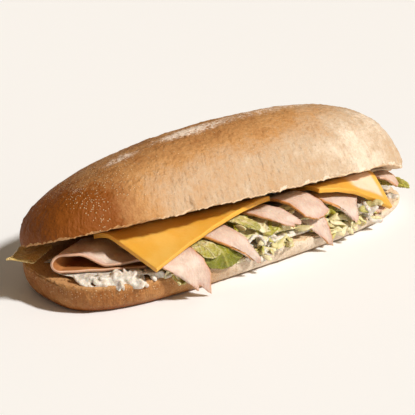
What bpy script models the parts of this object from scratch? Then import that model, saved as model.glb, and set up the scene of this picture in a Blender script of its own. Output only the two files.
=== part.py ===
"""A nine-inch submarine sandwich: a soft white roll cut in two and opened like a clam at the front,
over a smear of creamy dressing, shredded lettuce, folded slices of turkey and two slices of cheese.

Metres, +Z up. X runs along the roll, -Y is the open front, and the origin is at the middle of the base.
"""

import math
import random

import bmesh
import bpy
from mathutils import Euler, Vector, noise
from mathutils.bvhtree import BVHTree

MM = 0.001

# The roll, as one loaf before it is opened
ROLL_LENGTH = 230 * MM
ROLL_WIDTH = 80.6 * MM
OUTLINE_POWER = 2.78

# The top half: a domed crust over a flat cut face, lifted at the front
CROWN_HEIGHT = 40.4 * MM
CROWN_FATTER_TO_RIGHT = 0.057
CROWN_END_DROOP = 4.4 * MM
DOME_POWER = 2.29
CROWN_OPENING = math.radians(23.2)
CROWN_FALL_TO_RIGHT = math.radians(3.7)
CROWN_TURN = math.radians(-0.8)
CROWN_CENTRE = Vector((-1.0, -1.6, 25.3)) * MM
CROWN_BACK_GAP = 0.9 * MM
CROWN_BACK_SOFTNESS = 1.6 * MM
CROWN_DROOP_START = 84 * MM
CROWN_DROOP_LOSS = 0.85
CRUST_RELIEF = 0.5 * MM
CRUST_LUMP = 26 * MM

# The bottom half: a shallow boat with a flat base
HEEL_LENGTH = 224.5 * MM
HEEL_HEIGHT = 12.0 * MM
HEEL_FALL = -0.041
HEEL_POWER = 3.26
HEEL_BASE_SHARE = 0.787
HEEL_SIDE_ANGLE = math.radians(52)

# Where the knife left both halves: a rounded rim, and a cut face that is a little uneven
RIM_ROUNDING = 0.6 * MM
RIM_RELIEF = 0.45 * MM
RIM_LUMP = 9 * MM
CUT_FACE_SHARE = 0.985
RIM_RING = 0.01

# Fillings
TURKEY_THICKNESS = 1.3 * MM
CHEESE_THICKNESS = 2.4 * MM
CHEESE_CEILING_GAP = 2.6 * MM
CHEESE_CEILING_SOFTNESS = 1.2 * MM
LEAF_THICKNESS = 0.9 * MM
LAYER_GAP = 0.4 * MM

# The dressing, swollen along the open front
CREAM_THICKNESS = 1.3 * MM
CREAM_FRONT_SWELL = 2.4 * MM
CREAM_SWELL_FROM = 12 * MM
CREAM_SWELL_TO = 34 * MM
CREAM_LUMP = 14 * MM
CREAM_REACH = 0.93
CREAM_EDGE_WAVES = ((9, 0.025), (17, 0.02))
CREAM_BACK_SHARE = 0.42
CREAM_ROUNDNESS = 0.5

# The folded slice at the left end, its loop open to the front
FOLD_CREASE = Vector((-107.3, -10.3, 0)) * MM
FOLD_FRONT = Vector((0.891, -0.454, 0)).normalized()
FOLD_BACK = Vector((0.885, 0.465, 0)).normalized()
FOLD_INWARDS = Vector((0.454, 0.891, 0)).normalized()
FOLD_LEAF = 41 * MM
FOLD_DEPTH = 30 * MM
FOLD_TAPER = 0.72
FOLD_RADIUS = 4.4 * MM
FOLD_MIDDLE = 23.9 * MM
FOLD_LEAF_SHARE = 0.42
FOLD_SAG = 6.6 * MM
FOLD_SAG_BACK_LOSS = 0.55
FOLD_RISE = 1.2 * MM
FOLD_BACK_DROP = 2.4 * MM
FOLD_FRONT_DROP = 0.1 * MM
FOLD_SLOPE = -0.035

# The shredded lettuce
HEAP_CENTRE = Vector((4.5, -19, 0)) * MM
HEAP_REACH = Vector((65.5, 19, 0)) * MM
HEAP_POWER = 2.6
HEAP_EDGE_WAVES = ((13, 0.03),)
HEAP_ROUNDNESS = 0.6
HEAP_HEIGHT = 10.5 * MM
HEAP_HALF_LENGTH = 74 * MM
HEAP_LIFT = 0.2 * MM
HEAP_LEAST = 0.6 * MM
HEAP_CLEARANCE = 1.9 * MM
HEAP_PROBES = (-3.5 * MM, 0, 3.5 * MM)
SHRED_COUNT = 20
SHRED_TRIES = 900
SHRED_SEED = 11
SHRED_ROOT = 0.4 * MM
SHRED_GAP = 0.45 * MM
SHRED_CELLS = 6
SHRED_THICKNESS = 0.9 * MM
SHRED_ALONG = (-58 * MM, 66 * MM)
SHRED_FRONT = (-40 * MM, -32 * MM)
SHRED_LENGTH = (11 * MM, 21 * MM)
SHRED_WIDTH = (2.0 * MM, 3.2 * MM)
SHRED_BEND = 2.5 * MM
SHRED_TURN = 0.9
SHRED_TILT = (-1.2, 0.6)

# Colours
TURKEY = (0.86, 0.66, 0.53)
CHEESE = (0.86, 0.48, 0.10)
LETTUCE = (0.46, 0.50, 0.10)
PALE_LETTUCE = (0.68, 0.68, 0.36)
CREAM = (0.86, 0.82, 0.72)
CRUST = (0.62, 0.38, 0.17)
HEEL_CRUST = (0.74, 0.52, 0.30)


def clear_scene():
    for obj in list(bpy.data.objects):
        bpy.data.objects.remove(obj, do_unlink=True)


def new_collection(name, shown=True):
    made = bpy.data.collections.new(name)
    bpy.context.scene.collection.children.link(made)
    made.hide_render = not shown
    return made


def finish(name, colour, roughness):
    made = bpy.data.materials.new(name)
    made.use_nodes = True
    shader = made.node_tree.nodes["Principled BSDF"]
    shader.inputs["Base Color"].default_value = (*colour, 1)
    shader.inputs["Roughness"].default_value = roughness
    shader.inputs["Metallic"].default_value = 0
    made.diffuse_color = (*colour, 1)
    return made


def add_object(name, mesh, collection, material):
    """Turns a bmesh into a smooth-shaded object of one material."""
    data = bpy.data.meshes.new(name)
    mesh.to_mesh(data)
    mesh.free()
    data.shade_smooth()
    data.set_sharp_from_angle(angle=math.radians(50))
    data.materials.append(material)
    made = bpy.data.objects.new(name, data)
    collection.objects.link(made)
    return made


def lump(x, y, z, size, seed):
    """Smooth unevenness from -1 to 1 that changes over about the given size."""
    return noise.noise(Vector((x / size, y / size, z / size)) + Vector((seed, 2.3 * seed, 0)))


def signed_power(value, power):
    return math.copysign(abs(value) ** power, value)


def outline(angle, half_length, half_width, power):
    """A point of the loaf's plan, a rounded oblong."""
    return (
        half_length * signed_power(math.cos(angle), 2 / power),
        half_width * signed_power(math.sin(angle), 2 / power),
    )


def smooth_max(value, limit, softness):
    return limit + softness * math.log1p(math.exp((value - limit) / softness))


def smooth_min(value, limit, softness):
    return -smooth_max(-value, -limit, softness)


def smooth_step(value, start, end):
    share = min(1, max(0, (value - start) / (end - start)))
    return share * share * (3 - 2 * share)


def heel_top(x):
    return HEEL_HEIGHT + HEEL_FALL * x


CROWN_POSE = Euler((-CROWN_OPENING, CROWN_FALL_TO_RIGHT, CROWN_TURN), "XYZ").to_matrix()
CROWN_UP = CROWN_POSE @ Vector((0, 0, 1))


def crown_face(x, y):
    """Height of the top half's cut face, which flattens where it comes down onto the bottom half."""
    out = Vector((x, y, 0)) - CROWN_CENTRE
    plane = CROWN_CENTRE.z - (CROWN_UP.x * out.x + CROWN_UP.y * out.y) / CROWN_UP.z
    return smooth_max(plane, heel_top(x) + CROWN_BACK_GAP, CROWN_BACK_SOFTNESS)


def cream_top(x, y):
    """The dressing swells along the open front, but lies flat under the folded slice."""
    ahead_of_fold = -(Vector((x, y, 0)) - FOLD_CREASE).dot(FOLD_INWARDS)
    free = max(smooth_step(x, -66 * MM, -52 * MM), smooth_step(ahead_of_fold, 2 * MM, 6 * MM))
    swell = CREAM_FRONT_SWELL * free * smooth_step(-y, CREAM_SWELL_FROM, CREAM_SWELL_TO)
    wave = 1 + 0.5 * lump(x, y, 0, CREAM_LUMP, 3)
    return heel_top(x) + LAYER_GAP + CREAM_THICKNESS + swell * wave


def bed_top(x, y):
    """Top of the shredded lettuce, which the sliced meat lies on."""
    along = max(0.0, 1 - abs((x - HEAP_CENTRE.x) / HEAP_HALF_LENGTH) ** 2.5)
    across = 1 - smooth_step(y, -30 * MM, 8 * MM)
    return cream_top(x, y) + LAYER_GAP + 2 * HEAP_LIFT + HEAP_HEIGHT * along * across


def edge_waves(angle, waves):
    """Unevenness of a plan outline, from pairs of (waves round it, share of its size)."""
    return sum(size * math.sin(count * angle + count) for count, size in waves)


def sphere_angles(vert):
    """A vertex of the unit sphere as its angle round the vertical and its rise above the middle."""
    return math.atan2(vert.co.y, vert.co.x), math.asin(max(-1, min(1, vert.co.z)))


def make_crown(collection, material):
    """Half a loaf: the sphere's upper part is the dome, and its lower part is pressed flat as the cut face."""
    mesh = bmesh.new()
    bmesh.ops.create_uvsphere(mesh, u_segments=64, v_segments=22, radius=1)
    for vert in mesh.verts:
        angle, rise = sphere_angles(vert)
        dome = rise > -RIM_RING
        share = math.cos(rise) ** (2 / DOME_POWER) if dome else CUT_FACE_SHARE * math.cos(rise)
        lift = max(0.0, math.sin(rise)) ** (2 / DOME_POWER) if dome else 0
        x, y = outline(angle, share * ROLL_LENGTH / 2, share * ROLL_WIDTH / 2, OUTLINE_POWER)
        height = CROWN_HEIGHT + CROWN_FATTER_TO_RIGHT * x
        droop = CROWN_END_DROOP * smooth_step(x, CROWN_DROOP_START, ROLL_LENGTH / 2)
        droop *= 1 - CROWN_DROOP_LOSS * lift
        relief = CRUST_RELIEF * lump(x, y, lift * height, CRUST_LUMP, 1) * lift
        relief += RIM_RELIEF * lump(x, y, 0, RIM_LUMP, 2) * (1 - lift)
        local = Vector((x, y, lift * height + relief + RIM_ROUNDING * dome - droop))
        placed = CROWN_POSE @ local + CROWN_CENTRE
        floor = heel_top(placed.x) + CROWN_BACK_GAP
        placed.z = smooth_max(placed.z, floor, CROWN_BACK_SOFTNESS)
        vert.co = placed
    return add_object("bun_top", mesh, collection, material)


def heel_ring(drop):
    """Share of the outline, share of the height and share left of the base, at this angle down the side."""
    if drop < -RIM_RING:
        return CUT_FACE_SHARE * math.cos(drop), 1, 1
    if drop < HEEL_SIDE_ANGLE:
        turn = drop / HEEL_SIDE_ANGLE * math.pi / 2
        return HEEL_BASE_SHARE + (1 - HEEL_BASE_SHARE) * math.cos(turn), 1 - math.sin(turn), 1
    inwards = (drop - HEEL_SIDE_ANGLE) / (math.pi / 2 - HEEL_SIDE_ANGLE)
    return HEEL_BASE_SHARE, 0, math.cos(inwards * math.pi / 2)


def make_heel(collection, material):
    """The sphere's upper part is pressed flat as the cut face, its lower part rounds down to a flat base."""
    mesh = bmesh.new()
    bmesh.ops.create_uvsphere(mesh, u_segments=64, v_segments=16, radius=1)
    for vert in mesh.verts:
        angle, rise = sphere_angles(vert)
        share, level, base = heel_ring(-rise)
        half_length = base * (HEEL_LENGTH - (1 - share) * ROLL_WIDTH) / 2
        x, y = outline(angle, half_length, base * share * ROLL_WIDTH / 2, HEEL_POWER)
        rounding = RIM_ROUNDING if level == 1 and rise < RIM_RING else 0
        relief = RIM_RELIEF / 2 * (lump(x, y, 0, RIM_LUMP, 4) - 1) * level
        vert.co = Vector((x, y, level * heel_top(x) - rounding + relief))
    return add_object("bun_bottom", mesh, collection, material)


def make_cream(collection, material):
    mesh = bmesh.new()
    bmesh.ops.create_uvsphere(mesh, u_segments=56, v_segments=10, radius=1)
    for vert in mesh.verts:
        angle, rise = sphere_angles(vert)
        share = (CREAM_REACH + edge_waves(angle, CREAM_EDGE_WAVES)) * math.cos(rise) ** 0.8
        x, y = outline(angle, share * HEEL_LENGTH / 2, share * ROLL_WIDTH / 2, HEEL_POWER)
        y *= CREAM_BACK_SHARE if y > 0 else 1
        low = heel_top(x) + LAYER_GAP
        level = 0.5 + 0.5 * signed_power(vert.co.z, CREAM_ROUNDNESS)
        vert.co = Vector((x, y, low + level * (cream_top(x, y) - low)))
    return add_object("cream", mesh, collection, material)


def add_sheet(name, columns, rows, place, thickness, collection, material):
    """A thin slice: a grid laid out by place(across, along), each from 0 to 1, given a thickness."""
    mesh = bmesh.new()
    bmesh.ops.create_grid(mesh, x_segments=columns, y_segments=rows, size=0.5)
    for vert in mesh.verts:
        vert.co = place(vert.co.x + 0.5, vert.co.y + 0.5)
    bmesh.ops.triangulate(mesh, faces=mesh.faces)
    made = add_object(name, mesh, collection, material)
    shell = made.modifiers.new("thickness", "SOLIDIFY")
    shell.thickness = thickness
    shell.offset = 0
    return made


def bezier(points, share):
    left = 1 - share
    weights = (left**3, 3 * left**2 * share, 3 * left * share**2, share**3)
    return sum((weight * point for weight, point in zip(weights, points)), Vector((0, 0, 0)))


def blend(values, share):
    """Reads a short list of values evenly spaced from 0 to 1."""
    place = share * (len(values) - 1)
    step = min(int(place), len(values) - 2)
    return values[step] + (values[step + 1] - values[step]) * (place - step)


def tongue(spine, widths, cross=(1, 0, 0), slant=0.0, rounding=0.12, ripple=0.5, waves=1.5, phase=0.0):
    """A slice that runs along a spine from its hidden root to its free tip.

    cross points along its width, and slant makes one side of the tip longer than the other.
    """
    points = [Vector(point) * MM for point in spine]
    cross = Vector(cross)

    def place(across, along):
        side = 2 * across - 1
        reach = along * (1 + slant * side - rounding * side * side * along)
        centre = bezier(points, reach)
        half = blend(widths, along) * MM / 2
        wave = ripple * MM * along * math.sin(math.tau * (waves * across + phase))
        return centre + cross * (side * half) + Vector((0, -0.6, 0.5)) * wave

    return place


# The slices of turkey, from left to right along the open front: the spine's points from the
# hidden root to the free tip, in millimetres, and the width read from root to tip
TURKEY_SLICES = {
    "turkey_under_corner": dict(
        spine=((-63, -12, 24.5), (-62, -42, 27), (-57, -46.5, 22), (-50.0, -45, 5.2)),
        widths=(21, 24, 22, 11),
        slant=0.08,
        rounding=0.02,
        ripple=0.7,
        waves=1.2,
    ),
    "turkey_lower_middle": dict(
        spine=((-34, -10, 24.5), (-33, -35, 31), (-25, -44.5, 24.5), (-11, -45.5, 9.0)),
        widths=(24, 20, 15, 6),
        cross=(1, -0.1, -0.05),
        phase=0.3,
    ),
    "turkey_middle": dict(
        spine=((2, -9, 22.3), (0, -27, 30.2), (5, -36, 29.3), (15.5, -43.5, 20.8)),
        widths=(18, 14, 13, 9),
        cross=(1, 0, 0.05),
        rounding=0.06,
        ripple=0.3,
    ),
    "turkey_right_of_middle": dict(
        spine=((24, -8, 21.5), (22, -26, 33), (25, -37, 31.5), (30, -44, 21.8)),
        widths=(18, 17, 17, 16),
        rounding=0.05,
        ripple=0.4,
        phase=0.2,
    ),
    "turkey_hanging": dict(
        spine=((27, -14, 19), (26, -30, 25.5), (28.5, -41.3, 22.5), (33.5, -43.5, 7.6)),
        widths=(18, 17, 14, 8),
        cross=(1, -0.12, 0),
        slant=0.12,
        rounding=0.06,
        ripple=0.6,
        phase=0.6,
    ),
    "turkey_right": dict(
        spine=((50, -8, 17), (50, -26, 27.5), (53, -38, 26.5), (54.5, -45, 13)),
        widths=(26, 27, 24, 8),
        cross=(1, 0, -0.12),
        phase=0.5,
    ),
    "turkey_under_right_cheese": dict(
        spine=((73, -8, 13.5), (72, -24, 17), (74, -32, 16.5), (77, -39, 10.2)),
        widths=(18, 20, 20, 14),
        cross=(1, 0, -0.12),
        ripple=0.4,
    ),
    "turkey_right_end": dict(
        spine=((89, -10, 14.5), (91.5, -16, 21.2), (96, -22.5, 24.7), (99.5, -28, 16.0)),
        widths=(9, 13, 16, 12),
        cross=(0.8, 0.58, -0.14),
        ripple=0.4,
        phase=0.4,
    ),
}

LEAVES = {
    "lettuce_left_end": dict(
        spine=((-94, 16, 21.3), (-103, 14, 22), (-112, 12, 21), (-123, 12, 23.4)),
        widths=(4, 11, 18, 2),
        cross=(0.25, 1, 0.06),
        ripple=0.9,
        waves=1.2,
    ),
    "lettuce_front": dict(
        spine=((-33, -32, 21.7), (-33, -38, 24.2), (-33, -42.5, 19.6), (-30, -42.2, 10.8)),
        widths=(20, 22, 27, 20),
        ripple=0.7,
        waves=2.2,
    ),
    "lettuce_thin": dict(
        spine=((-42, -22, 22.4), (-42, -33, 25.2), (-41, -41, 24), (-39.5, -44.2, 19.4)),
        widths=(9, 11, 12, 11),
        ripple=0.3,
    ),
    "lettuce_rib": dict(
        spine=((-16, -22, 27.5), (-14, -30, 29), (-11, -36, 28), (-7, -39, 23.5)),
        widths=(8, 9, 8, 6),
        ripple=0.2,
    ),
    "lettuce_right_end": dict(
        spine=((97, -12, 14.5), (101, -20, 15.2), (105, -26, 17), (107.5, -28.5, 13)),
        widths=(4, 4, 5, 3),
        cross=(0.24, 0.45, 0.85),
        ripple=0.3,
    ),
}


def fold_profile(across):
    """Distance in from the crease, and the side: -1 on the lower leaf, 1 on the upper one."""
    if across < FOLD_LEAF_SHARE:
        return FOLD_LEAF * (1 - across / FOLD_LEAF_SHARE), -1.0
    if across > 1 - FOLD_LEAF_SHARE:
        return FOLD_LEAF * (across - 1 + FOLD_LEAF_SHARE) / FOLD_LEAF_SHARE, 1.0
    turn = math.pi * (across - FOLD_LEAF_SHARE) / (1 - 2 * FOLD_LEAF_SHARE)
    return -FOLD_RADIUS * math.sin(turn), -math.cos(turn)


def fold_place(across, along):
    """The slice doubled over at the left end, its loop open to the front; along runs inwards."""
    out, side = fold_profile(across)
    opened = max(0, out) / FOLD_LEAF
    depth = FOLD_DEPTH * along * (1 - FOLD_TAPER * smooth_step(opened, 0.25, 1))
    point = FOLD_CREASE + FOLD_FRONT * out + FOLD_BACK * depth
    height = FOLD_MIDDLE + side * FOLD_RADIUS + FOLD_SLOPE * (point.x - FOLD_CREASE.x)
    if side > 0:
        height -= FOLD_SAG * smooth_step(opened, 0.2, 0.54) * (1 - FOLD_SAG_BACK_LOSS * along)
        height += FOLD_RISE * smooth_step(opened, 0.6, 0.95)
        height -= FOLD_BACK_DROP * along * side
    else:
        height -= FOLD_FRONT_DROP * opened
    return Vector((point.x, point.y, height))


def cheese_place(corner, turn, length, depth, front, rise):
    """A square-cut slice from its front corner: front is the height along its front edge."""
    along_front = Vector((math.cos(turn), math.sin(turn), 0))
    inwards = Vector((-math.sin(turn), math.cos(turn), 0))

    def place(across, along):
        plan = Vector((*corner, 0)) * MM + along_front * (length * MM * across)
        plan += inwards * (depth * MM * along)
        height = (blend(front, across) + blend(rise, across) * depth * along) * MM
        ceiling = crown_face(plan.x, plan.y) - CHEESE_CEILING_GAP
        return Vector((plan.x, plan.y, smooth_min(height, ceiling, CHEESE_CEILING_SOFTNESS)))

    return place


CHEESE_SLICES = {
    "cheese_left": dict(
        corner=(-76, -44.5),
        turn=math.radians(11.5),
        length=89,
        depth=40,
        front=(23.0, 27.6, 31.0, 32.9, 32.6),
        rise=(0.34, 0.22, 0.02, -0.12, -0.2),
    ),
    "cheese_right": dict(
        corner=(37, -35),
        turn=math.radians(-7.5),
        length=46,
        depth=30,
        front=(31.5, 29.5, 25.5, 19.0, 11.8),
        rise=(0.0, 0.15, 0.35, 0.6, 0.78),
    ),
}


def surface_of(obj):
    """The finished surface of an object as a search tree."""
    graph = bpy.context.evaluated_depsgraph_get()
    return BVHTree.FromObject(obj, graph)


def room_above(x, y, start, highest, covers):
    """How high the heap may rise at this place before it meets what lies on it."""
    for offset_x in HEAP_PROBES:
        for offset_y in HEAP_PROBES:
            origin = Vector((x + offset_x, y + offset_y, start))
            for cover in covers:
                hit = cover.ray_cast(origin, Vector((0, 0, 1)), highest - start + HEAP_CLEARANCE)
                if hit[0] is not None:
                    highest = min(highest, hit[0].z - HEAP_CLEARANCE)
    return highest


def heap_core(covers):
    mesh = bmesh.new()
    bmesh.ops.create_uvsphere(mesh, u_segments=44, v_segments=10, radius=1)
    for vert in mesh.verts:
        angle, rise = sphere_angles(vert)
        reach = (1 + edge_waves(angle, HEAP_EDGE_WAVES)) * math.cos(rise) ** 0.8
        x, y = outline(angle, reach * HEAP_REACH.x, reach * HEAP_REACH.y, HEAP_POWER)
        x += HEAP_CENTRE.x
        y += HEAP_CENTRE.y
        low = cream_top(x, y) + LAYER_GAP + HEAP_LIFT
        high = room_above(x, y, low, bed_top(x, y), covers)
        level = 0.5 + 0.5 * signed_power(vert.co.z, HEAP_ROUNDNESS)
        vert.co = Vector((x, y, low + level * max(HEAP_LEAST, high - low)))
    return mesh


def shred_mesh(centre, heading, tilt, length, width, bend):
    """One strip of lettuce: a flat bar bent along its length."""
    mesh = bmesh.new()
    bmesh.ops.create_grid(mesh, x_segments=SHRED_CELLS, y_segments=1, size=0.5)
    solid = bmesh.ops.extrude_face_region(mesh, geom=mesh.faces[:])
    for item in solid["geom"]:
        if isinstance(item, bmesh.types.BMVert):
            item.co.z = 1
    turn = Euler((tilt, 0, heading)).to_matrix()
    for vert in mesh.verts:
        along = vert.co.x * length
        curve = bend * (4 * vert.co.x**2 - 1)
        local = Vector((along, vert.co.y * width, vert.co.z * SHRED_THICKNESS + curve))
        vert.co = centre + turn @ local
    bmesh.ops.recalc_face_normals(mesh, faces=mesh.faces)
    bmesh.ops.triangulate(mesh, faces=mesh.faces)
    return mesh


def clear_of(mesh, obstacles, gap):
    """Whether a strip stays this far from everything but the heap."""
    tree = BVHTree.FromBMesh(mesh)
    for obstacle in obstacles:
        if tree.overlap(obstacle):
            return False
        if any(obstacle.find_nearest(vert.co, gap)[0] is not None for vert in mesh.verts):
            return False
    return True


def rooted(mesh, core):
    """Whether some of a strip's corners lie well inside the heap's core."""
    deep = 0
    for vert in mesh.verts:
        nearest, normal, _, _ = core.find_nearest(vert.co)
        if (nearest - vert.co).dot(normal) > SHRED_ROOT:
            deep += 1
    return 3 <= deep <= len(mesh.verts) / 2


def scatter_shreds(core, obstacles, collection):
    """Strips that lie on the open front of the heap, each rooted in it and clear of the rest."""
    chance = random.Random(SHRED_SEED)
    made = 0
    for _ in range(SHRED_TRIES):
        x = chance.uniform(*SHRED_ALONG)
        y = chance.uniform(*SHRED_FRONT)
        low = cream_top(x, y)
        z = low + chance.uniform(0.1, 1.0) * max(2 * MM, bed_top(x, y) - low)
        strip = shred_mesh(
            Vector((x, y, z)),
            heading=chance.uniform(-SHRED_TURN, SHRED_TURN),
            tilt=chance.uniform(*SHRED_TILT),
            length=chance.uniform(*SHRED_LENGTH),
            width=chance.uniform(*SHRED_WIDTH),
            bend=chance.uniform(-SHRED_BEND, SHRED_BEND),
        )
        if made < SHRED_COUNT and rooted(strip, core) and clear_of(strip, obstacles, SHRED_GAP):
            data = bpy.data.meshes.new("shred")
            strip.to_mesh(data)
            collection.objects.link(bpy.data.objects.new("shred", data))
            made += 1
        strip.free()


def shell_around(face):
    """Every face reached from this one across shared edges."""
    shell = {face}
    stack = [face]
    while stack:
        for edge in stack.pop().edges:
            fresh = [other for other in edge.link_faces if other not in shell]
            shell.update(fresh)
            stack.extend(fresh)
    return shell


def keep_outer_shell(mesh):
    """Drops loose scraps and fills the hollows that the union sealed."""
    cells = bmesh.new()
    cells.from_mesh(mesh)
    largest = set()
    unseen = set(cells.faces)
    while unseen:
        shell = shell_around(next(iter(unseen)))
        unseen -= shell
        largest = max(largest, shell, key=len)
    loose = [face for face in cells.faces if face not in largest]
    bmesh.ops.delete(cells, geom=loose, context="FACES")
    cells.to_mesh(mesh)
    cells.free()


def make_lettuce_heap(collection, material, covers):
    """The heap of shredded lettuce: a core out to its uneven outline, with the front shreds fused on."""
    heap = add_object("lettuce_heap", heap_core(covers), collection, material)
    shreds = new_collection("shreds", shown=False)
    scatter_shreds(surface_of(heap), covers, shreds)
    union = heap.modifiers.new("shreds", "BOOLEAN")
    union.operation = "UNION"
    union.operand_type = "COLLECTION"
    union.collection = shreds
    union.solver = "MANIFOLD"
    graph = bpy.context.evaluated_depsgraph_get()
    joined = bpy.data.meshes.new_from_object(heap.evaluated_get(graph))
    heap.modifiers.clear()
    heap.data = joined
    keep_outer_shell(joined)
    for shred in list(shreds.objects):
        bpy.data.objects.remove(shred, do_unlink=True)
    bpy.data.collections.remove(shreds)
    return heap


def main():
    clear_scene()
    sandwich = new_collection("submarine_sandwich")
    crust = finish("crust", CRUST, 0.6)
    turkey = finish("turkey", TURKEY, 0.45)
    cheese = finish("cheese", CHEESE, 0.4)
    lettuce = finish("lettuce", LETTUCE, 0.4)
    pale_lettuce = finish("pale_lettuce", PALE_LETTUCE, 0.4)
    covers = [
        make_crown(sandwich, crust),
        make_heel(sandwich, finish("heel_crust", HEEL_CRUST, 0.65)),
        make_cream(sandwich, finish("cream", CREAM, 0.35)),
        add_sheet("turkey_fold", 32, 6, fold_place, TURKEY_THICKNESS, sandwich, turkey),
    ]
    for name, values in TURKEY_SLICES.items():
        covers.append(add_sheet(name, 6, 10, tongue(**values), TURKEY_THICKNESS, sandwich, turkey))
    for name, values in CHEESE_SLICES.items():
        covers.append(add_sheet(name, 10, 6, cheese_place(**values), CHEESE_THICKNESS, sandwich, cheese))
    for name, values in LEAVES.items():
        colour = pale_lettuce if name in ("lettuce_thin", "lettuce_rib") else lettuce
        covers.append(add_sheet(name, 7, 7, tongue(**values), LEAF_THICKNESS, sandwich, colour))
    bpy.context.view_layer.update()
    make_lettuce_heap(sandwich, lettuce, [surface_of(cover) for cover in covers])


main()
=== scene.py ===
import random
from math import copysign, cos, dist, exp, log1p, pi, radians, sin, tau

import bmesh
import bpy
import numpy as np
from mathutils import Euler, Matrix, Vector, noise
from mathutils.bvhtree import BVHTree


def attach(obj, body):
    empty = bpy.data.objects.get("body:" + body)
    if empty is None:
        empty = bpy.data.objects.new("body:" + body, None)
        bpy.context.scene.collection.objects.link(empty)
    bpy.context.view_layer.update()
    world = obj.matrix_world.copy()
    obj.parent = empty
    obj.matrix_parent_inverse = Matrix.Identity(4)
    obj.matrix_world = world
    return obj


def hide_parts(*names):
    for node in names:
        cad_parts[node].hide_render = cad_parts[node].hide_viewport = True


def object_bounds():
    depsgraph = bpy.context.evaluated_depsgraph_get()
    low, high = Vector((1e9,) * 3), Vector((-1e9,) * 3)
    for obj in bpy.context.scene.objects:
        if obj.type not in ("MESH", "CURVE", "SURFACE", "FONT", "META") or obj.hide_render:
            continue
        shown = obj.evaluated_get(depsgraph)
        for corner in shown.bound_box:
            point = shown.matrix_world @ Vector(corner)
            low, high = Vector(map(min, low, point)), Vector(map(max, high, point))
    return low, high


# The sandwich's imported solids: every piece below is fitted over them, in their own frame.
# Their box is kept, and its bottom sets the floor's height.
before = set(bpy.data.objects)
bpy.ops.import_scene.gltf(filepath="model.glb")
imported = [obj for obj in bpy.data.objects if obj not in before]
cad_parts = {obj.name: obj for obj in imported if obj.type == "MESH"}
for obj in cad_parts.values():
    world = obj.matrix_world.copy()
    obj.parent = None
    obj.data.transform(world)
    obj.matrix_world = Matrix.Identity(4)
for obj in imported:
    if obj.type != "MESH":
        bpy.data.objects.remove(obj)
solid_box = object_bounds()
MM = 0.001


# The camera: a long lens, from the front left and a little above, at the height of a seated eye.
# Its shift puts the sandwich where it lies in the photograph's square frame.
VIEW_TURN = radians(-40.05)
VIEW_RISE = radians(21.9)
VIEW_CENTRE = Vector((0, 0, 38 * MM))
VIEW_DISTANCE = 1214.8 * MM
FRAME_PIXELS = 415
FOCAL_PIXELS = 2398.5
CENTRE_PIXEL = (218.7, 176.9)
SENSOR = 36
CLIP_START = 50 * MM


def new_object(name, data):
    made = bpy.data.objects.new(name, data)
    bpy.context.scene.collection.objects.link(made)
    return made


level = cos(VIEW_RISE)
back = Vector((sin(VIEW_TURN) * level, -cos(VIEW_TURN) * level, sin(VIEW_RISE)))
right = Vector((cos(VIEW_TURN), sin(VIEW_TURN), 0))
stand = Matrix((right, back.cross(right), back)).transposed().to_4x4()
stand.translation = VIEW_CENTRE + back * VIEW_DISTANCE
camera_data = bpy.data.cameras.new("camera")
camera_data.sensor_width = SENSOR
camera_data.lens = FOCAL_PIXELS / FRAME_PIXELS * SENSOR
camera_data.shift_x = (FRAME_PIXELS / 2 - CENTRE_PIXEL[0]) / FRAME_PIXELS
camera_data.shift_y = (CENTRE_PIXEL[1] - FRAME_PIXELS / 2) / FRAME_PIXELS
camera_data.clip_start = CLIP_START
camera = new_object("camera", camera_data)
camera.matrix_world = stand
bpy.context.scene.camera = camera


# The floor and the light: a pale board, a studio lamp high at the front right, a wide weak one low
# beside it, and a weak warm fill from all round, so that the shaded end of the roll stays brown.
FLOOR_HALF = 3.0
FLOOR_LIGHT = (0.94, 0.95, 0.97)
FLOOR_DARK = (0.92, 0.93, 0.95)
LAMPS = (  # name, where it shines from, strength, width in degrees, colour
    ("sun", (0.32, -0.90, 0.98), 3.6, 6, (1.0, 0.97, 0.92)),
    ("bounce", (0.55, -0.85, 0.12), 0.45, 70, (1.0, 0.84, 0.62)),
)
FILL_COLOUR = (1.0, 0.80, 0.58)
FILL_STRENGTH = 0.20


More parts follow.
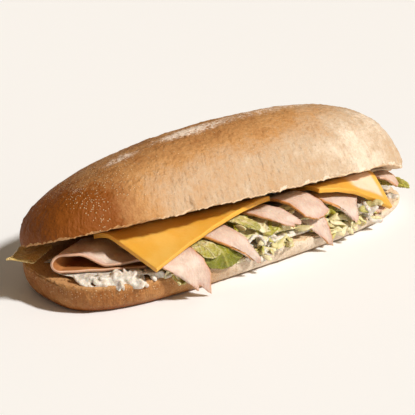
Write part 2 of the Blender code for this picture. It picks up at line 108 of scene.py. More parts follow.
class Shade:
    """A socket of a material's tree. Arithmetic on it adds Math nodes, and node() any other."""

    def __init__(self, tree, socket=None):
        self.tree = tree
        self.socket = socket

    def node(self, kind, settings=None, inputs=None, output=0):
        """Adds a node: its settings first, then the values or links of its sockets."""
        made = self.tree.nodes.new(kind)
        for name, value in (settings or {}).items():
            setattr(made, name, value)
        for name, value in (inputs or {}).items():
            socket = made.inputs[name]
            if isinstance(value, Shade):
                self.tree.links.new(value.socket, socket)
            else:
                socket.default_value = (*value, 1) if socket.type == "RGBA" else value
        return Shade(self.tree, made.outputs[output])

    def math(self, operation, first, second):
        return self.node("ShaderNodeMath", {"operation": operation}, {0: first, 1: second})

    def __add__(self, other):
        return self.math("ADD", self, other)

    def __sub__(self, other):
        return self.math("SUBTRACT", self, other)

    def __rsub__(self, other):
        return self.math("SUBTRACT", other, self)

    def __mul__(self, other):
        return self.math("MULTIPLY", self, other)

    __radd__, __rmul__ = __add__, __mul__

    def above(self, start, end):
        """0 up to start and 1 from end, with a smooth step between."""
        limits = {"Value": self, "From Min": start, "From Max": end}
        return self.node("ShaderNodeMapRange", {"interpolation_type": "SMOOTHSTEP"}, limits)

    def mixed(self, first, second):
        """A colour that goes from first to second as this value goes from 0 to 1."""
        settings = {"data_type": "RGBA", "clamp_factor": True}
        return self.node("ShaderNodeMix", settings, {0: self, 6: first, 7: second}, output=2)

    def ramped(self, *stops):
        """A colour read from this value, between stops of a position and a colour."""
        read = self.node("ShaderNodeValToRGB", inputs={"Fac": self})
        elements = read.socket.node.color_ramp.elements
        while len(elements) < len(stops):
            elements.new(0.5)
        for element, (position, colour) in zip(elements, stops):
            element.position = position
            element.color = (*colour, 1)
        return read

    def place(self):
        return self.node("ShaderNodeTexCoord", output=3)

    def painted(self, name, output=2):
        """A value kept on the mesh's points, or with output=1 a place."""
        return self.node("ShaderNodeAttribute", {"attribute_name": name}, output=output)

    def clouds(self, size, detail=3, squeeze=(1, 1, 1), roughness=0.5, over=None):
        """Noise from about 0 to 1 that changes over this many millimetres."""
        spot = self.node(
            "ShaderNodeVectorMath", {"operation": "MULTIPLY"}, {0: over or self.place(), 1: squeeze}
        )
        looks = {"Vector": spot, "Scale": 1 / (size * MM), "Detail": detail, "Roughness": roughness}
        return self.node("ShaderNodeTexNoise", inputs=looks)

    def cells(self, size, output=0):
        """Distance from the middle of cells this many millimetres apart, or their colours."""
        looks = {"Vector": self.place(), "Scale": 1 / (size * MM)}
        return self.node("ShaderNodeTexVoronoi", inputs=looks, output=output)


def finish(name, paint, subsurface=0.0, **constants):
    """A material: paint(shade) gives what varies, and constants set the other sockets directly.

    Depth is how high its relief stands, in millimetres.
    """
    made = bpy.data.materials.new(name)
    made.use_nodes = True
    shader = made.node_tree.nodes["Principled BSDF"]
    shade = Shade(made.node_tree)
    varied = paint(shade)
    if "Height" in varied:
        bump = {"Height": varied.pop("Height"), "Distance": varied.pop("Depth") * MM}
        varied["Normal"] = shade.node("ShaderNodeBump", inputs={**bump, "Strength": 1.0})
    for socket, value in varied.items():
        made.node_tree.links.new(value.socket, shader.inputs[socket])
    if subsurface:
        constants["Subsurface_Weight"] = subsurface
        constants["Subsurface_Scale"] = 2 * MM
        constants["Subsurface_Radius"] = (1.0, 0.55, 0.3)
    for socket, value in constants.items():
        shader.inputs[socket.replace("_", " ")].default_value = value
    return made


def new_mesh(name, spots, faces, materials):
    mesh = bpy.data.meshes.new(name)
    mesh.from_pydata(spots, [], faces)
    for material in materials:
        mesh.materials.append(material)
    mesh.shade_smooth()
    return mesh


def paint_floor(shade):
    return {"Base Color": shade.clouds(400).mixed(FLOOR_DARK, FLOOR_LIGHT)}


corners = [(x * FLOOR_HALF, y * FLOOR_HALF, 0) for x, y in ((-1, -1), (1, -1), (1, 1), (-1, 1))]
board = finish("pale_floor", paint_floor, Roughness=0.8)
floor = new_object("floor", new_mesh("floor", corners, [(0, 1, 2, 3)], (board,)))
floor.location.z = solid_box[0][2]

for name, where, strength, width, colour in LAMPS:
    lamp_data = bpy.data.lights.new(name, "SUN")
    lamp_data.energy = strength
    lamp_data.angle = radians(width)
    lamp_data.color = colour
    lamp = new_object(name, lamp_data)
    lamp.rotation_euler = Vector(where).to_track_quat("Z", "Y").to_euler()

world = bpy.data.worlds.new("fill")
world.use_nodes = True
fill = world.node_tree.nodes["Background"].inputs
fill["Color"].default_value = (*FILL_COLOUR, 1)
fill["Strength"].default_value = FILL_STRENGTH
bpy.context.scene.world = world
bpy.context.scene.view_settings.view_transform = "Standard"


# The top half of the roll: soft white bread with a thin golden crust, cut flat and lifted at the
# front like a lid. The crust is puckered near the cut, blistered, and dusted with flour on top. Its
# colour is browner towards the left end, partly from real baking and partly as painted shade, and a
# flour patch along the crest on the right is also a painted highlight.
ROLL_LENGTH = 230 * MM
ROLL_WIDTH = 80.6 * MM
OUTLINE_POWER = 2.78
CROWN_HEIGHT = 40.4 * MM
CROWN_FATTER_TO_RIGHT = 0.057
CROWN_END_DROOP = 4.4 * MM
CROWN_DROOP_START = 84 * MM
CROWN_DROOP_LOSS = 0.85
DOME_POWER = 2.29
CROWN_OPENING = radians(23.2)
CROWN_FALL_TO_RIGHT = radians(3.7)
CROWN_TURN = radians(-0.8)
CROWN_CENTRE = Vector((-1.0, -1.6, 25.3)) * MM
CROWN_BACK_GAP = 0.9 * MM
CROWN_BACK_SOFTNESS = 1.6 * MM
CROWN_FLOOR_GAP = 0.35 * MM
CRUST_RELIEF = 0.5 * MM
CRUST_LUMP = 26 * MM
RIM_ROUNDING = 0.6 * MM
RIM_RELIEF = 0.45 * MM
RIM_LUMP = 9 * MM
CUT_FACE_SHARE = 0.985
HEEL_HEIGHT = 12.0 * MM
HEEL_FALL = -0.041
CROWN_POSE = Euler((-CROWN_OPENING, CROWN_FALL_TO_RIGHT, CROWN_TURN), "XYZ").to_matrix()
CROWN_UP = CROWN_POSE @ Vector((0, 0, 1))
CROWN_ROUND = 800
CROWN_FACE_RINGS = 16
CROWN_RIM_RINGS = 4
CROWN_DOME_RINGS = 92
FRONT_DENSITY = 1.8
PLAN_STEPS = 40001

# Depths of the relief, in millimetres
CREASE_HEIGHT = 0.9
WRINKLE_DEPTH = 0.12
STREAK_DEPTH = 0.20
BLISTER_HEIGHT = 0.75
PUCKER_DEPTH = 0.5
DENT_DEPTH = 0.5
RIM_RAGGED = 0.95
CRUMB_RELIEF = 0.35
# Flour on top of the roll. The last patch, along the crest on the right, is also a painted
# highlight.
FLOUR_AND_HIGHLIGHT_PATCHES = (  # middle and reach along and across the roll in millimetres, and strength
    (-20, 1, 20, 6, 1.5), (-63, 0, 12, 6, 1.0), (-93, -6, 8, 6, 0.5), (35, 4, 45, 10, 0.85)
)

PALEST_CRUST = (0.80, 0.67, 0.53)
PALE_CRUST = (0.585, 0.43, 0.29)
GOLDEN_CRUST = (0.53, 0.27, 0.10)
# The brown stop is reached mostly at the left end, where it also stands for painted shade.
BROWN_CRUST = (0.25, 0.069, 0.006)
FLOUR_AND_HIGHLIGHT_WHITE = (0.97, 0.80, 0.66)
MEAL = (0.90, 0.62, 0.36)
CRUMB_BITS = (0.88, 0.75, 0.60)
CRUMB = (0.82, 0.63, 0.43)
# Painted shade in the crumb's pores.
CRUMB_PORE_SHADE = (0.66, 0.45, 0.27)
# Painted shade for the crumb at the left end.
CRUMB_LEDGE_SHADE = (0.50, 0.26, 0.10)


def lump(point, size, seed):
    """Smooth unevenness from -1 to 1 that changes over about the given size."""
    return noise.noise(Vector(point) / size + Vector((seed, 2.3 * seed, 0)))


def lumps(points, sizes, seed):
    """The same at every point of an array, over one size in millimetres or one for each axis."""
    scaled = points / (np.array(sizes) * MM) + np.array((seed, 2.3 * seed, 0))
    flat = [noise.noise(spot) for spot in scaled.reshape(-1, 3).tolist()]
    return np.array(flat).reshape(points.shape[:-1])


def lines(points, sizes, seed, width, power):
    """Narrow winding lines, 1 along their middle and 0 elsewhere."""
    return np.clip(1 - np.abs(lumps(points, sizes, seed)) / width, 0, 1) ** power


def signed_power(value, power):
    return copysign(abs(value) ** power, value)


def outline(angle, half_length, half_width, power):
    """A point of the loaf's plan, a rounded oblong."""
    return (
        half_length * signed_power(cos(angle), 2 / power),
        half_width * signed_power(sin(angle), 2 / power),
    )


def even_angles(count, length, power):
    """Angles that space the plan's points evenly, from the middle of its back, closer in front."""
    fine = np.linspace(pi / 2, 5 * pi / 2, PLAN_STEPS)
    spots = np.array([outline(angle, length / 2, ROLL_WIDTH / 2, power) for angle in fine])
    steps = np.linalg.norm(np.diff(spots, axis=0), axis=1)
    steps *= np.where(spots[1:, 1] < 0, FRONT_DENSITY, 1)
    gone = np.concatenate([[0], np.cumsum(steps)])
    return np.interp(np.arange(count) / count * gone[-1], gone, fine).tolist()


def quarter(count):
    """This many angles, from 0 up towards a right angle."""
    return [step / count * pi / 2 for step in range(count)]


def per_ring(rings, index, sides):
    """One of the rings' values, spread over all their points."""
    return np.array([[float(ring[index])] * sides for ring in rings])


def smooth_max(value, limit, softness):
    return limit + softness * log1p(exp((value - limit) / softness))


def ease(value, start, end):
    """0 up to start and 1 from end, with a smooth step between."""
    share = np.clip((value - start) / (end - start), 0, 1)
    return share * share * (3 - 2 * share)


def heel_top(x):
    return HEEL_HEIGHT + HEEL_FALL * x


def crown_point(angle, share, lift, rounding):
    """A point of the top half: share of the outline, and lift from the cut face to the top."""
    x, y = outline(angle, share * ROLL_LENGTH / 2, share * ROLL_WIDTH / 2, OUTLINE_POWER)
    height = CROWN_HEIGHT + CROWN_FATTER_TO_RIGHT * x
    droop = CROWN_END_DROOP * ease(x, CROWN_DROOP_START, ROLL_LENGTH / 2)
    droop *= 1 - CROWN_DROOP_LOSS * lift
    relief = CRUST_RELIEF * lump((x, y, lift * height), CRUST_LUMP, 1) * lift
    relief += RIM_RELIEF * lump((x, y, 0), RIM_LUMP, 2) * (1 - lift)
    placed = CROWN_POSE @ Vector((x, y, lift * height + relief + rounding - droop)) + CROWN_CENTRE
    placed.z = smooth_max(placed.z, heel_top(placed.x) + CROWN_BACK_GAP, CROWN_BACK_SOFTNESS)
    return placed


def raised(points, relief):
    """A grid of points that closes round its second axis, moved outwards by so many millimetres."""
    along = np.roll(points, -1, axis=1) - np.roll(points, 1, axis=1)
    crossed = np.cross(along, np.gradient(points, axis=0))
    length = np.linalg.norm(crossed, axis=2, keepdims=True)
    return points + crossed / np.maximum(length, 1e-12) * (relief * MM)[..., None]


def laid_out(points, rim):
    """How far each point lies above the rim in millimetres, and its place on a rolled sheet.

    The sheet goes round the loaf and its third axis runs up from the rim, so a pattern on it can
    follow the way the dough was pulled, without a seam.
    """
    steps = np.linalg.norm(np.roll(points[rim], -1, axis=0) - points[rim], axis=1)
    around = np.concatenate([[0], np.cumsum(steps)[:-1]])
    radius = steps.sum() / tau
    climbs = np.linalg.norm(np.diff(points, axis=0), axis=2)
    climb = np.concatenate([np.zeros((1, points.shape[1])), np.cumsum(climbs, axis=0)])
    climb = climb - climb[rim]
    turn = np.tile(around / radius, (len(points), 1))
    return climb / MM, np.stack([radius * np.cos(turn), radius * np.sin(turn), climb], axis=2)


def mark(mesh, label, values, kind="FLOAT"):
    """Keeps a value or a place on each point of a mesh."""
    kept = mesh.attributes.new(label, kind, "POINT")
    kept.data.foreach_set("value" if kind == "FLOAT" else "vector", values)


def closed_shell(name, points, values, materials, slots, run=None):
    """A mesh from rings of points, closed on a middle point at both ends.

    slots gives each ring its material, and values and run are kept on the points.
    """
    rings, sides = points.shape[:2]
    spots = [tuple(spot) for spot in points.reshape(-1, 3)]
    spots += [tuple(points[0].mean(axis=0)), tuple(points[-1].mean(axis=0))]
    around = [(side, (side + 1) % sides) for side in range(sides)]
    faces = []
    for low in range(0, (rings - 1) * sides, sides):
        high = low + sides
        faces += [(low + side, low + after, high + after, high + side) for side, after in around]
    wears = [slots[ring] for ring in range(rings - 1) for _ in around]
    last = (rings - 1) * sides
    for side, after in around:
        faces += [(len(spots) - 2, after, side), (len(spots) - 1, last + side, last + after)]
        wears += [slots[0], slots[-1]]
    mesh = new_mesh(name, spots, faces, materials)
    mesh.polygons.foreach_set("material_index", wears)
    for label, grid in values.items():
        ends = [float(grid[0].mean()), float(grid[-1].mean())]
        mark(mesh, label, grid.reshape(-1).tolist() + ends)
    if run is not None:
        ends = [*run[0].mean(axis=0), *run[-1].mean(axis=0)]
        mark(mesh, "run", run.reshape(-1).tolist() + ends, "FLOAT_VECTOR")
    return mesh


def add_piece(name, mesh, *nodes, slot):
    """Puts a piece in the scene: it moves with the sandwich and stands for these solids."""
    piece = new_object(name, mesh)
    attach(piece, "root")
    if nodes:
        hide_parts(*nodes)
    return piece


def paint_crust(shade):
    """Golden above and pale towards the cut, browner towards the left end as painted shade, pulled
    into streaks, with meal and some flour, which along the crest on the right also paints a
    highlight.
    """
    run = shade.painted("run", 1)
    pulled = shade.painted("pulled")
    streak = shade.clouds(1.7, squeeze=(1, 1, 0.28), over=run)
    fine_streak = shade.clouds(0.7, squeeze=(1, 1, 0.3), over=run)
    browning_and_shade = shade.painted("browning_and_shade") + 0.4 * (shade.clouds(15, 4) - 0.5)
    browning_and_shade = browning_and_shade + pulled * (0.14 * (streak - 0.5) + 0.08 * (fine_streak - 0.5))
    browning_and_shade = browning_and_shade + 0.3 * (shade.clouds(3.5, 4) - 0.5) + 0.25 * (shade.clouds(0.9) - 0.5)
    pale = ((0, PALEST_CRUST), (0.22, PALE_CRUST))
    body = browning_and_shade.ramped(*pale, (0.6, GOLDEN_CRUST), (1.0, BROWN_CRUST))
    grain = shade.clouds(0.6, 2)
    # Flour mixed over the crust, which along the crest on the right also paints a highlight.
    drift = grain + 1.6 * shade.clouds(1.6) + shade.clouds(4) - 1.15
    dust_and_highlight = (shade.painted("flour_and_highlight") * drift).above(0.25, 0.95)
    dots = 1 - shade.cells(1.15).above(0.2, 0.36)
    wanted = shade.painted("specks")
    chosen = (shade.cells(1.15, output=1) + 0.5 * wanted).above(0.92, 0.97)
    specks = dots * chosen * wanted.above(0.05, 0.3)
    dusted_and_highlit = (0.9 * dust_and_highlight).mixed(body, FLOUR_AND_HIGHLIGHT_WHITE)
    speckled = (0.6 * specks).mixed(dusted_and_highlit, MEAL)
    torn = (shade.painted("torn") * (0.5 + shade.clouds(1.3))).above(0.45, 0.75)
    height = pulled * (0.6 * streak + 0.3 * fine_streak) + 0.9 * shade.clouds(2.6, 4)
    return {
        "Base Color": (0.8 * torn).mixed(speckled, CRUMB_BITS),
        "Roughness": 0.46 + 0.25 * grain + 0.2 * dust_and_highlight,
        "Height": height + 0.3 * specks + 0.4 * shade.clouds(1) + 0.2 * torn,
        "Depth": 1.1,
    }


def paint_crumb(shade):
    """The torn inside of the bread: pale, with open pores of several sizes painted darker as shade,
    and painted shade where the crust beside it is browner, most at the left end.
    """
    pores = shade.cells(2.4).above(0.05, 0.4) * shade.cells(1.1).above(0.02, 0.35)
    # Painted shade: the pores are darker than the crumb round them.
    body = (pores * (0.6 + 0.4 * shade.clouds(6))).mixed(CRUMB_PORE_SHADE, CRUMB)
    # Painted shade: the crumb is darkened where the crust is browner, most on the ledge at the left
    # end.
    body = shade.painted("browning_and_shade").above(0.2, 0.7).mixed(body, CRUMB_LEDGE_SHADE)
    return {"Base Color": body, "Roughness": 0.85 - 0.05 * pores, "Height": pores, "Depth": 0.4}


crust = finish("golden_crust", paint_crust, subsurface=0.06, Specular_IOR_Level=0.18)
crumb = finish("bread_crumb", paint_crumb, subsurface=0.1)


def make_crown():
    rings = [(CUT_FACE_SHARE * sin(turn), 0, 0, 0) for turn in quarter(CROWN_FACE_RINGS + 1)[1:]]
    for turn in quarter(CROWN_RIM_RINGS):
        share = CUT_FACE_SHARE + (1 - CUT_FACE_SHARE) * sin(turn)
        rings.append((share, 0, RIM_ROUNDING * (1 - cos(turn)), 0))
    for rise in quarter(CROWN_DOME_RINGS):
        power = 2 / DOME_POWER
        rings.append((cos(rise) ** power, sin(rise) ** power, RIM_ROUNDING, 1))
    angles = even_angles(CROWN_ROUND, ROLL_LENGTH, OUTLINE_POWER)
    points = np.array([[crown_point(angle, *ring[:3]) for angle in angles] for ring in rings])
    lift, dome = per_ring(rings, 1, CROWN_ROUND), per_ring(rings, 3, CROWN_ROUND)
    climb, run = laid_out(points, CROWN_FACE_RINGS + CROWN_RIM_RINGS)
    x, y = points[..., 0] / MM, points[..., 1] / MM

    # Relief of the crust: creases and streaks that run up from the cut, blisters and dents.
    # Here climb, x and y are in millimetres.
    low = 1 - ease(climb, 12, 36)
    tall = ease(x, 68, 90) * (1 - ease(climb, 7, 14))
    patch = ease(lumps(points, 9, 14), -0.3, 0.3)
    smooth_end = 0.3 + 0.7 * ease(x, -85, -45)
    pulled = low * smooth_end
    gate = ease(lumps(run, (11, 11, 16), 5), -0.15, 0.3)
    crease = CREASE_HEIGHT * lines(run, (4.2, 4.2, 22), 3, 0.09, 1.5)
    relief = crease * gate * low * (0.35 + 0.65 * smooth_end)
    wrinkle = WRINKLE_DEPTH * lines(run, (3.0, 3.0, 5.5), 20, 0.16, 1.2)
    relief -= wrinkle * (0.25 + 0.75 * patch) * pulled
    streak = lumps(run, (1.6, 1.6, 6), 15) * (0.35 + 0.65 * patch + 1.6 * tall)
    relief += STREAK_DEPTH * (streak + 2 * lumps(run, (3.4, 3.4, 11), 17)) * pulled
    blister = BLISTER_HEIGHT * np.abs(lumps(points, (2.6, 2.6, 2.9), 16)) * (0.5 + patch)
    relief += blister * smooth_end * (1 - 0.4 * ease(lift, 0.5, 0.95))
    relief += PUCKER_DEPTH * lumps(run, (6.5, 6.5, 24), 7) * (1 - ease(climb, 3, 22))
    dent = np.minimum(lumps(points, 13, 8), 0.1)
    relief += DENT_DEPTH * dent * (0.5 + ease(x, 20, 70) * low)
    relief *= ease(lift, 0.0, 0.04)
    relief += (1 - dome) * CRUMB_RELIEF * (lumps(points, 2.4, 10) + lumps(points, 6, 11))
    points = raised(points, relief)

    # The knife's ragged edge: the rim is pulled down unevenly
    edge = np.exp(-((climb / 1.6) ** 2))
    torn = lumps(run, (1.5, 1.5, 9), 12) + 0.9 * lumps(run, (5, 5, 20), 13)
    points -= (edge * RIM_RAGGED * MM * torn)[..., None] * np.array(CROWN_UP)
    points[..., 2] = np.maximum(points[..., 2], heel_top(points[..., 0]) + CROWN_FLOOR_GAP)

    # How browned, floured and speckled each place is. The browning also carries painted shade at
    # the left end, and the flour carries a painted highlight along the crest on the right.
    browning_and_shade = 0.31 - 0.3 * ease(x, 5, 85) + 0.08 * (1 - ease(x, -75, -20))
    browning_and_shade += 0.22 * ease(x, 60, 100) * low
    golden = ease(lift, 0.35, 0.92) * (1 - 0.4 * ease(x, 60, 105))
    browning_and_shade += 0.42 * golden * (0.1 + 0.9 * ease(x, -100, -45))
    # Painted shade as well as real baking: the left end, which lies in shade, is painted much
    # browner.
    browning_and_shade += (0.60 + 0.26 * low) * (1 - ease(x, -106, -54))
    browning_and_shade += 0.10 * lumps(points, 9, 19) * ease(lift, 0.3, 0.7)
    flour_and_highlight = sum(
        strength * np.exp(-(((x - middle_x) / reach_x) ** 2) - (((y - middle_y) / reach_y) ** 2))
        for middle_x, middle_y, reach_x, reach_y, strength in FLOUR_AND_HIGHLIGHT_PATCHES
    )
    specks = 0.25 + 0.75 * (1 - ease(x, -85, -30))
    specks *= ease(lift, 0.2, 0.5) + np.exp(-(((x + 95) / 6) ** 2)) * low
    specks *= ease(x, -112, -96)
    torn_off = edge * (0.35 + 0.75 * ease(x, -30, 20)) * ease(lumps(run, 5, 18), -0.25, 0.25)
    values = {"browning_and_shade": browning_and_shade, "flour_and_highlight": flour_and_highlight * dome, "specks": specks * dome}
    values.update({"torn": torn_off * dome, "pulled": pulled})
    slots = [1 - ring[3] for ring in rings]
    mesh = closed_shell("roll_top", points, values, (crust, crumb), slots, run)
    add_piece("roll_top", mesh, "bun_top", slot="crust")


make_crown()


# The bottom half of the roll: the same bread, a shallow boat with a flat base, left lying on the
# board. Its cut face shows as a narrow ledge of torn crumb round the filling.
HEEL_LENGTH = 224.5 * MM
HEEL_POWER = 3.26
HEEL_BASE_SHARE = 0.787
HEEL_ROUND = 620
HEEL_FACE_RINGS = 40
HEEL_RIM_RINGS = 4
HEEL_SIDE_RINGS = 34
HEEL_BASE_RINGS = 10


def heel_point(angle, share, level, drop, base):
    """A point of the bottom half: share of the outline, level from the base (0) to the cut (1)."""
    length = HEEL_LENGTH - (1 - share) * ROLL_WIDTH
    x, y = outline(angle, base * length / 2, base * share * ROLL_WIDTH / 2, HEEL_POWER)
    relief = RIM_RELIEF / 2 * (lump((x, y, 0), RIM_LUMP, 4) - 1) * level
    return Vector((x, y, level * heel_top(x) - drop + relief))


def make_heel():
    rings = [(HEEL_BASE_SHARE, 0, 0, sin(turn), 0) for turn in quarter(HEEL_BASE_RINGS + 1)[1:]]
    for turn in quarter(HEEL_SIDE_RINGS):
        share = HEEL_BASE_SHARE + (1 - HEEL_BASE_SHARE) * sin(turn)
        rings.append((share, 1 - cos(turn), RIM_ROUNDING * (1 - cos(turn)), 1, 0))
    for turn in quarter(HEEL_RIM_RINGS):
        share = 1 - (1 - CUT_FACE_SHARE) * (1 - cos(turn))
        rings.append((share, 1, RIM_ROUNDING * (1 - sin(turn)), 1, 1))
    rings += [(CUT_FACE_SHARE * cos(turn) ** 1.3, 1, 0, 1, 1) for turn in quarter(HEEL_FACE_RINGS)]
    angles = even_angles(HEEL_ROUND, HEEL_LENGTH, HEEL_POWER)
    points = np.array([[heel_point(angle, *ring[:4]) for angle in angles] for ring in rings])
    level, face = per_ring(rings, 1, HEEL_ROUND), per_ring(rings, 4, HEEL_ROUND)
    climb, run = laid_out(points, HEEL_BASE_RINGS + HEEL_SIDE_RINGS)
    x = points[..., 0] / MM

    side = ease(level, 0.02, 0.3) * (1 - face)
    relief = side * (0.5 * lumps(run, (9, 9, 16), 21) + 0.2 * lumps(run, (2.2, 2.2, 6), 22))
    relief += face * (CRUMB_RELIEF * lumps(points, 2.2, 23) - 0.25)
    points = raised(points, relief)
    edge = np.exp(-((climb / 1.5) ** 2))
    torn = lumps(run, (1.6, 1.6, 9), 24) + 0.8 * lumps(run, (6, 6, 20), 25) - 0.3
    points[..., 2] += edge * RIM_RAGGED * MM * torn

    # Browner towards the left end. This value also paints shade on the crumb ledge there.
    browning_and_shade = 0.86 - 0.82 * ease(x, -86, 0) + 0.3 * (1 - ease(level, 0, 0.3))
    browning_and_shade -= 0.15 * ease(climb, -3, 0)
    specks = 0.2 + 0.8 * ease(climb, -9, -2) * (1 - ease(x, -40, 0))
    values = {"browning_and_shade": browning_and_shade, "flour_and_highlight": 0 * x, "specks": specks * (1 - face)}
    values.update({"torn": 0.5 * edge * (1 - face), "pulled": side})
    slots = [ring[4] for ring in rings]
    mesh = closed_shell("roll_bottom", points, values, (crust, crumb), slots, run)
    add_piece("roll_bottom", mesh, "bun_bottom", slot="heel_crust")


make_heel()


# The dressing: a thick white smear on the bottom half, swollen where it is pressed out along the
# open front, with lumps and a wet shine. It stays level up to where the filling covers it.
LAYER_GAP = 0.4 * MM
CREAM_THICKNESS = 1.3 * MM
CREAM_FRONT_SWELL = 2.4 * MM
CREAM_SWELL_FROM = 12 * MM
CREAM_SWELL_TO = 34 * MM
CREAM_LUMP = 14 * MM
CREAM_REACH = 0.93
CREAM_EDGE_WAVES = ((9, 0.025), (17, 0.02))
CREAM_BACK_SHARE = 0.42
CREAM_ROUNDNESS = 0.5
FOLD_CREASE = Vector((-107.3, -10.3, 0)) * MM
FOLD_INWARDS = Vector((0.454, 0.891, 0)).normalized()
CREAM_ROUND = 420
CREAM_RINGS = 64
CREAM_WHITE = (0.74, 0.69, 0.62)
CREAM_SHADED = (0.64, 0.56, 0.46)


def cream_top(x, y):
    """The dressing swells along the open front, but lies flat under the folded slice."""
    ahead_of_fold = -(Vector((x, y, 0)) - FOLD_CREASE).dot(FOLD_INWARDS)
    free = max(ease(x, -66 * MM, -52 * MM), ease(ahead_of_fold, 2 * MM, 6 * MM))
    swell = CREAM_FRONT_SWELL * free * ease(-y, CREAM_SWELL_FROM, CREAM_SWELL_TO)
    wave = 1 + 0.5 * lump((x, y, 0), CREAM_LUMP, 3)
    return heel_top(x) + LAYER_GAP + CREAM_THICKNESS + swell * wave


def cream_point(angle, rise):
    waves = sum(size * sin(count * angle + count) for count, size in CREAM_EDGE_WAVES)
    share = (CREAM_REACH + waves) * cos(rise) ** 0.8
    x, y = outline(angle, share * HEEL_LENGTH / 2, share * ROLL_WIDTH / 2, HEEL_POWER)
    y *= CREAM_BACK_SHARE if y > 0 else 1
    low = heel_top(x) + LAYER_GAP
    level = 0.5 + 0.5 * signed_power(sin(rise), CREAM_ROUNDNESS)
    return Vector((x, y, low + level * (cream_top(x, y) - low)))


def paint_cream(shade):
    return {
        "Base Color": shade.clouds(4, 4).above(0.3, 0.6).mixed(CREAM_SHADED, CREAM_WHITE),
        "Roughness": 0.22 + 0.25 * shade.clouds(2),
        "Height": shade.clouds(2),
        "Depth": 1.0,
    }


cream = finish("dressing", paint_cream, subsurface=0.25)


def make_cream():
    rises = [pi * ((ring + 1) / (CREAM_RINGS + 1) - 0.5) for ring in range(CREAM_RINGS)]
    angles = [tau * side / CREAM_ROUND for side in range(CREAM_ROUND)]
    points = np.array([[cream_point(angle, rise) for angle in angles] for rise in rises])
    upper = ease(np.array([[sin(rise)] * CREAM_ROUND for rise in rises]), -0.5, 0.3)
    front = ease(-points[..., 1] / MM, 10, 26)
    relief = 0.9 * lumps(points, (5, 5, 9), 31) + 0.45 * lumps(points, (2.2, 2.2, 4), 32)
    points = raised(points, relief * upper * (0.3 + 0.7 * front))
    mesh = closed_shell("dressing", points, {}, (cream,), [0] * CREAM_RINGS)
    add_piece("dressing", mesh, "cream", slot="cream")


make_cream()


# The turkey: thin slices cut from a cooked breast, folded or laid like tongues over the lettuce so
# that their torn tips hang out of the front. Some keep a strip of the browned outside as an edge.
TURKEY_THICKNESS = 1.3 * MM
SLICE_OUTWARDS = Vector((0, -0.6, 0.5))
SLICE_SIZE = 34
SLICE_GRID = (44, 72)
RIND_SIDE, RIND_TIP = 0.06, 0.03  # shares of the width and the length
RIM_SIDE, RIM_TIP = 0.16, 0.1
SPOT_REACH = 0.14
TURKEY_WHITE = (0.76, 0.65, 0.56)
TURKEY_PALE = (0.62, 0.45, 0.36)
TURKEY_PINK = (0.56, 0.31, 0.24)
TURKEY_GREY = (0.52, 0.43, 0.36)
TURKEY_CUT = (0.66, 0.41, 0.28)
TURKEY_RIND = (0.60, 0.27, 0.075)
# Painted shade for the inside of the folded slice.
TURKEY_HOLLOW_SHADE = (0.20, 0.055, 0.022)
TURKEY_SLICES = {
    "turkey_under_corner": dict(
        spine=((-63, -12, 24.5), (-62, -42, 27), (-57, -46.5, 22), (-50.0, -45, 5.2)),
        widths=(21, 24, 22, 11), slant=0.08, rounding=0.02, ripple=0.7, waves=1.2,
        tip=(-4, -1, 0.5, -3.5, -1.5, 0.5), rind=(0.0, 0.7, 0.5),
    ),
    "turkey_lower_middle": dict(
        spine=((-34, -10, 24.5), (-33, -35, 31), (-25, -44.5, 24.5), (-11, -45.5, 9.0)),
        widths=(24, 20, 15, 6), cross=(1, -0.1, -0.05), phase=0.3, tip=(-2, 0, -1, 0.3),
        rind=(0.9, 0.1, 0.6),
    ),
    "turkey_middle": dict(
        spine=((2, -9, 22.3), (0, -27, 30.2), (5, -36, 29.3), (15.5, -43.5, 20.8)),
        widths=(18, 14, 13, 9), cross=(1, 0, 0.05), rounding=0.06, ripple=0.3,
        tip=(-1.0, 0, -2.0, 0.3, -0.8), rind=(0.6, 0.0, 0.5),
    ),
    "turkey_right_of_middle": dict(
        spine=((24, -8, 21.5), (22, -26, 33), (25, -37, 31.5), (30, -44, 21.8)),
        widths=(18, 17, 17, 16), rounding=0.05, ripple=0.4, phase=0.2, tip=(-1.0, 0.3, 0, -0.6),
        rind=(1.0, 0.2, 0.7),
    ),
    "turkey_hanging": dict(
        spine=((27, -14, 19), (26, -30, 25.5), (28.5, -41.3, 22.5), (33.5, -43.5, 7.6)),
        widths=(18, 17, 14, 8), cross=(1, -0.12, 0), slant=0.12, rounding=0.06, ripple=0.6,
        phase=0.6, tip=(-2, -1, -0.5, 0.3), rind=(0.1, 0.9, 0.6),
    ),
    "turkey_right": dict(
        spine=((50, -8, 17), (50, -26, 27.5), (53, -38, 26.5), (54.5, -45, 13)),
        widths=(26, 27, 24, 8), cross=(1, 0, -0.12), phase=0.5, tip=(-2, 0.3, -1, -2),
        rind=(1.0, 0.3, 0.5), browned_spot=(0.9, 0.62),
    ),
    "turkey_under_right_cheese": dict(
        spine=((73, -8, 13.5), (72, -24, 17), (74, -32, 16.5), (77, -39, 10.2)),
        widths=(18, 20, 20, 14), cross=(1, 0, -0.12), ripple=0.4, tip=(-1, 0, -1.5, 0),
        rind=(0.3, 0.3, 0.5),
    ),
    "turkey_right_end": dict(
        spine=((89, -10, 14.5), (91.5, -16, 21.2), (96, -22.5, 24.7), (99.5, -28, 16.0)),
        widths=(9, 13, 16, 12), cross=(0.8, 0.58, -0.14), ripple=0.4, phase=0.4,
        tip=(-1, 0.2, -1, 0), rind=(0.2, 0.8, 0.5), browned_spot=(0.85, 0.8),
    ),
}


def bezier(points, share):
    left = 1 - share
    weights = (left**3, 3 * left**2 * share, 3 * left * share**2, share**3)
    return sum((weight * point for weight, point in zip(weights, points)), Vector((0, 0, 0)))


def blend(values, share):
    """Reads a short list of values evenly spaced from 0 to 1."""
    place = share * (len(values) - 1)
    step = min(int(place), len(values) - 2)
    return values[step] + (values[step + 1] - values[step]) * (place - step)


def wobble(x, y, z):
    return noise.noise(Vector((x, y, z)))


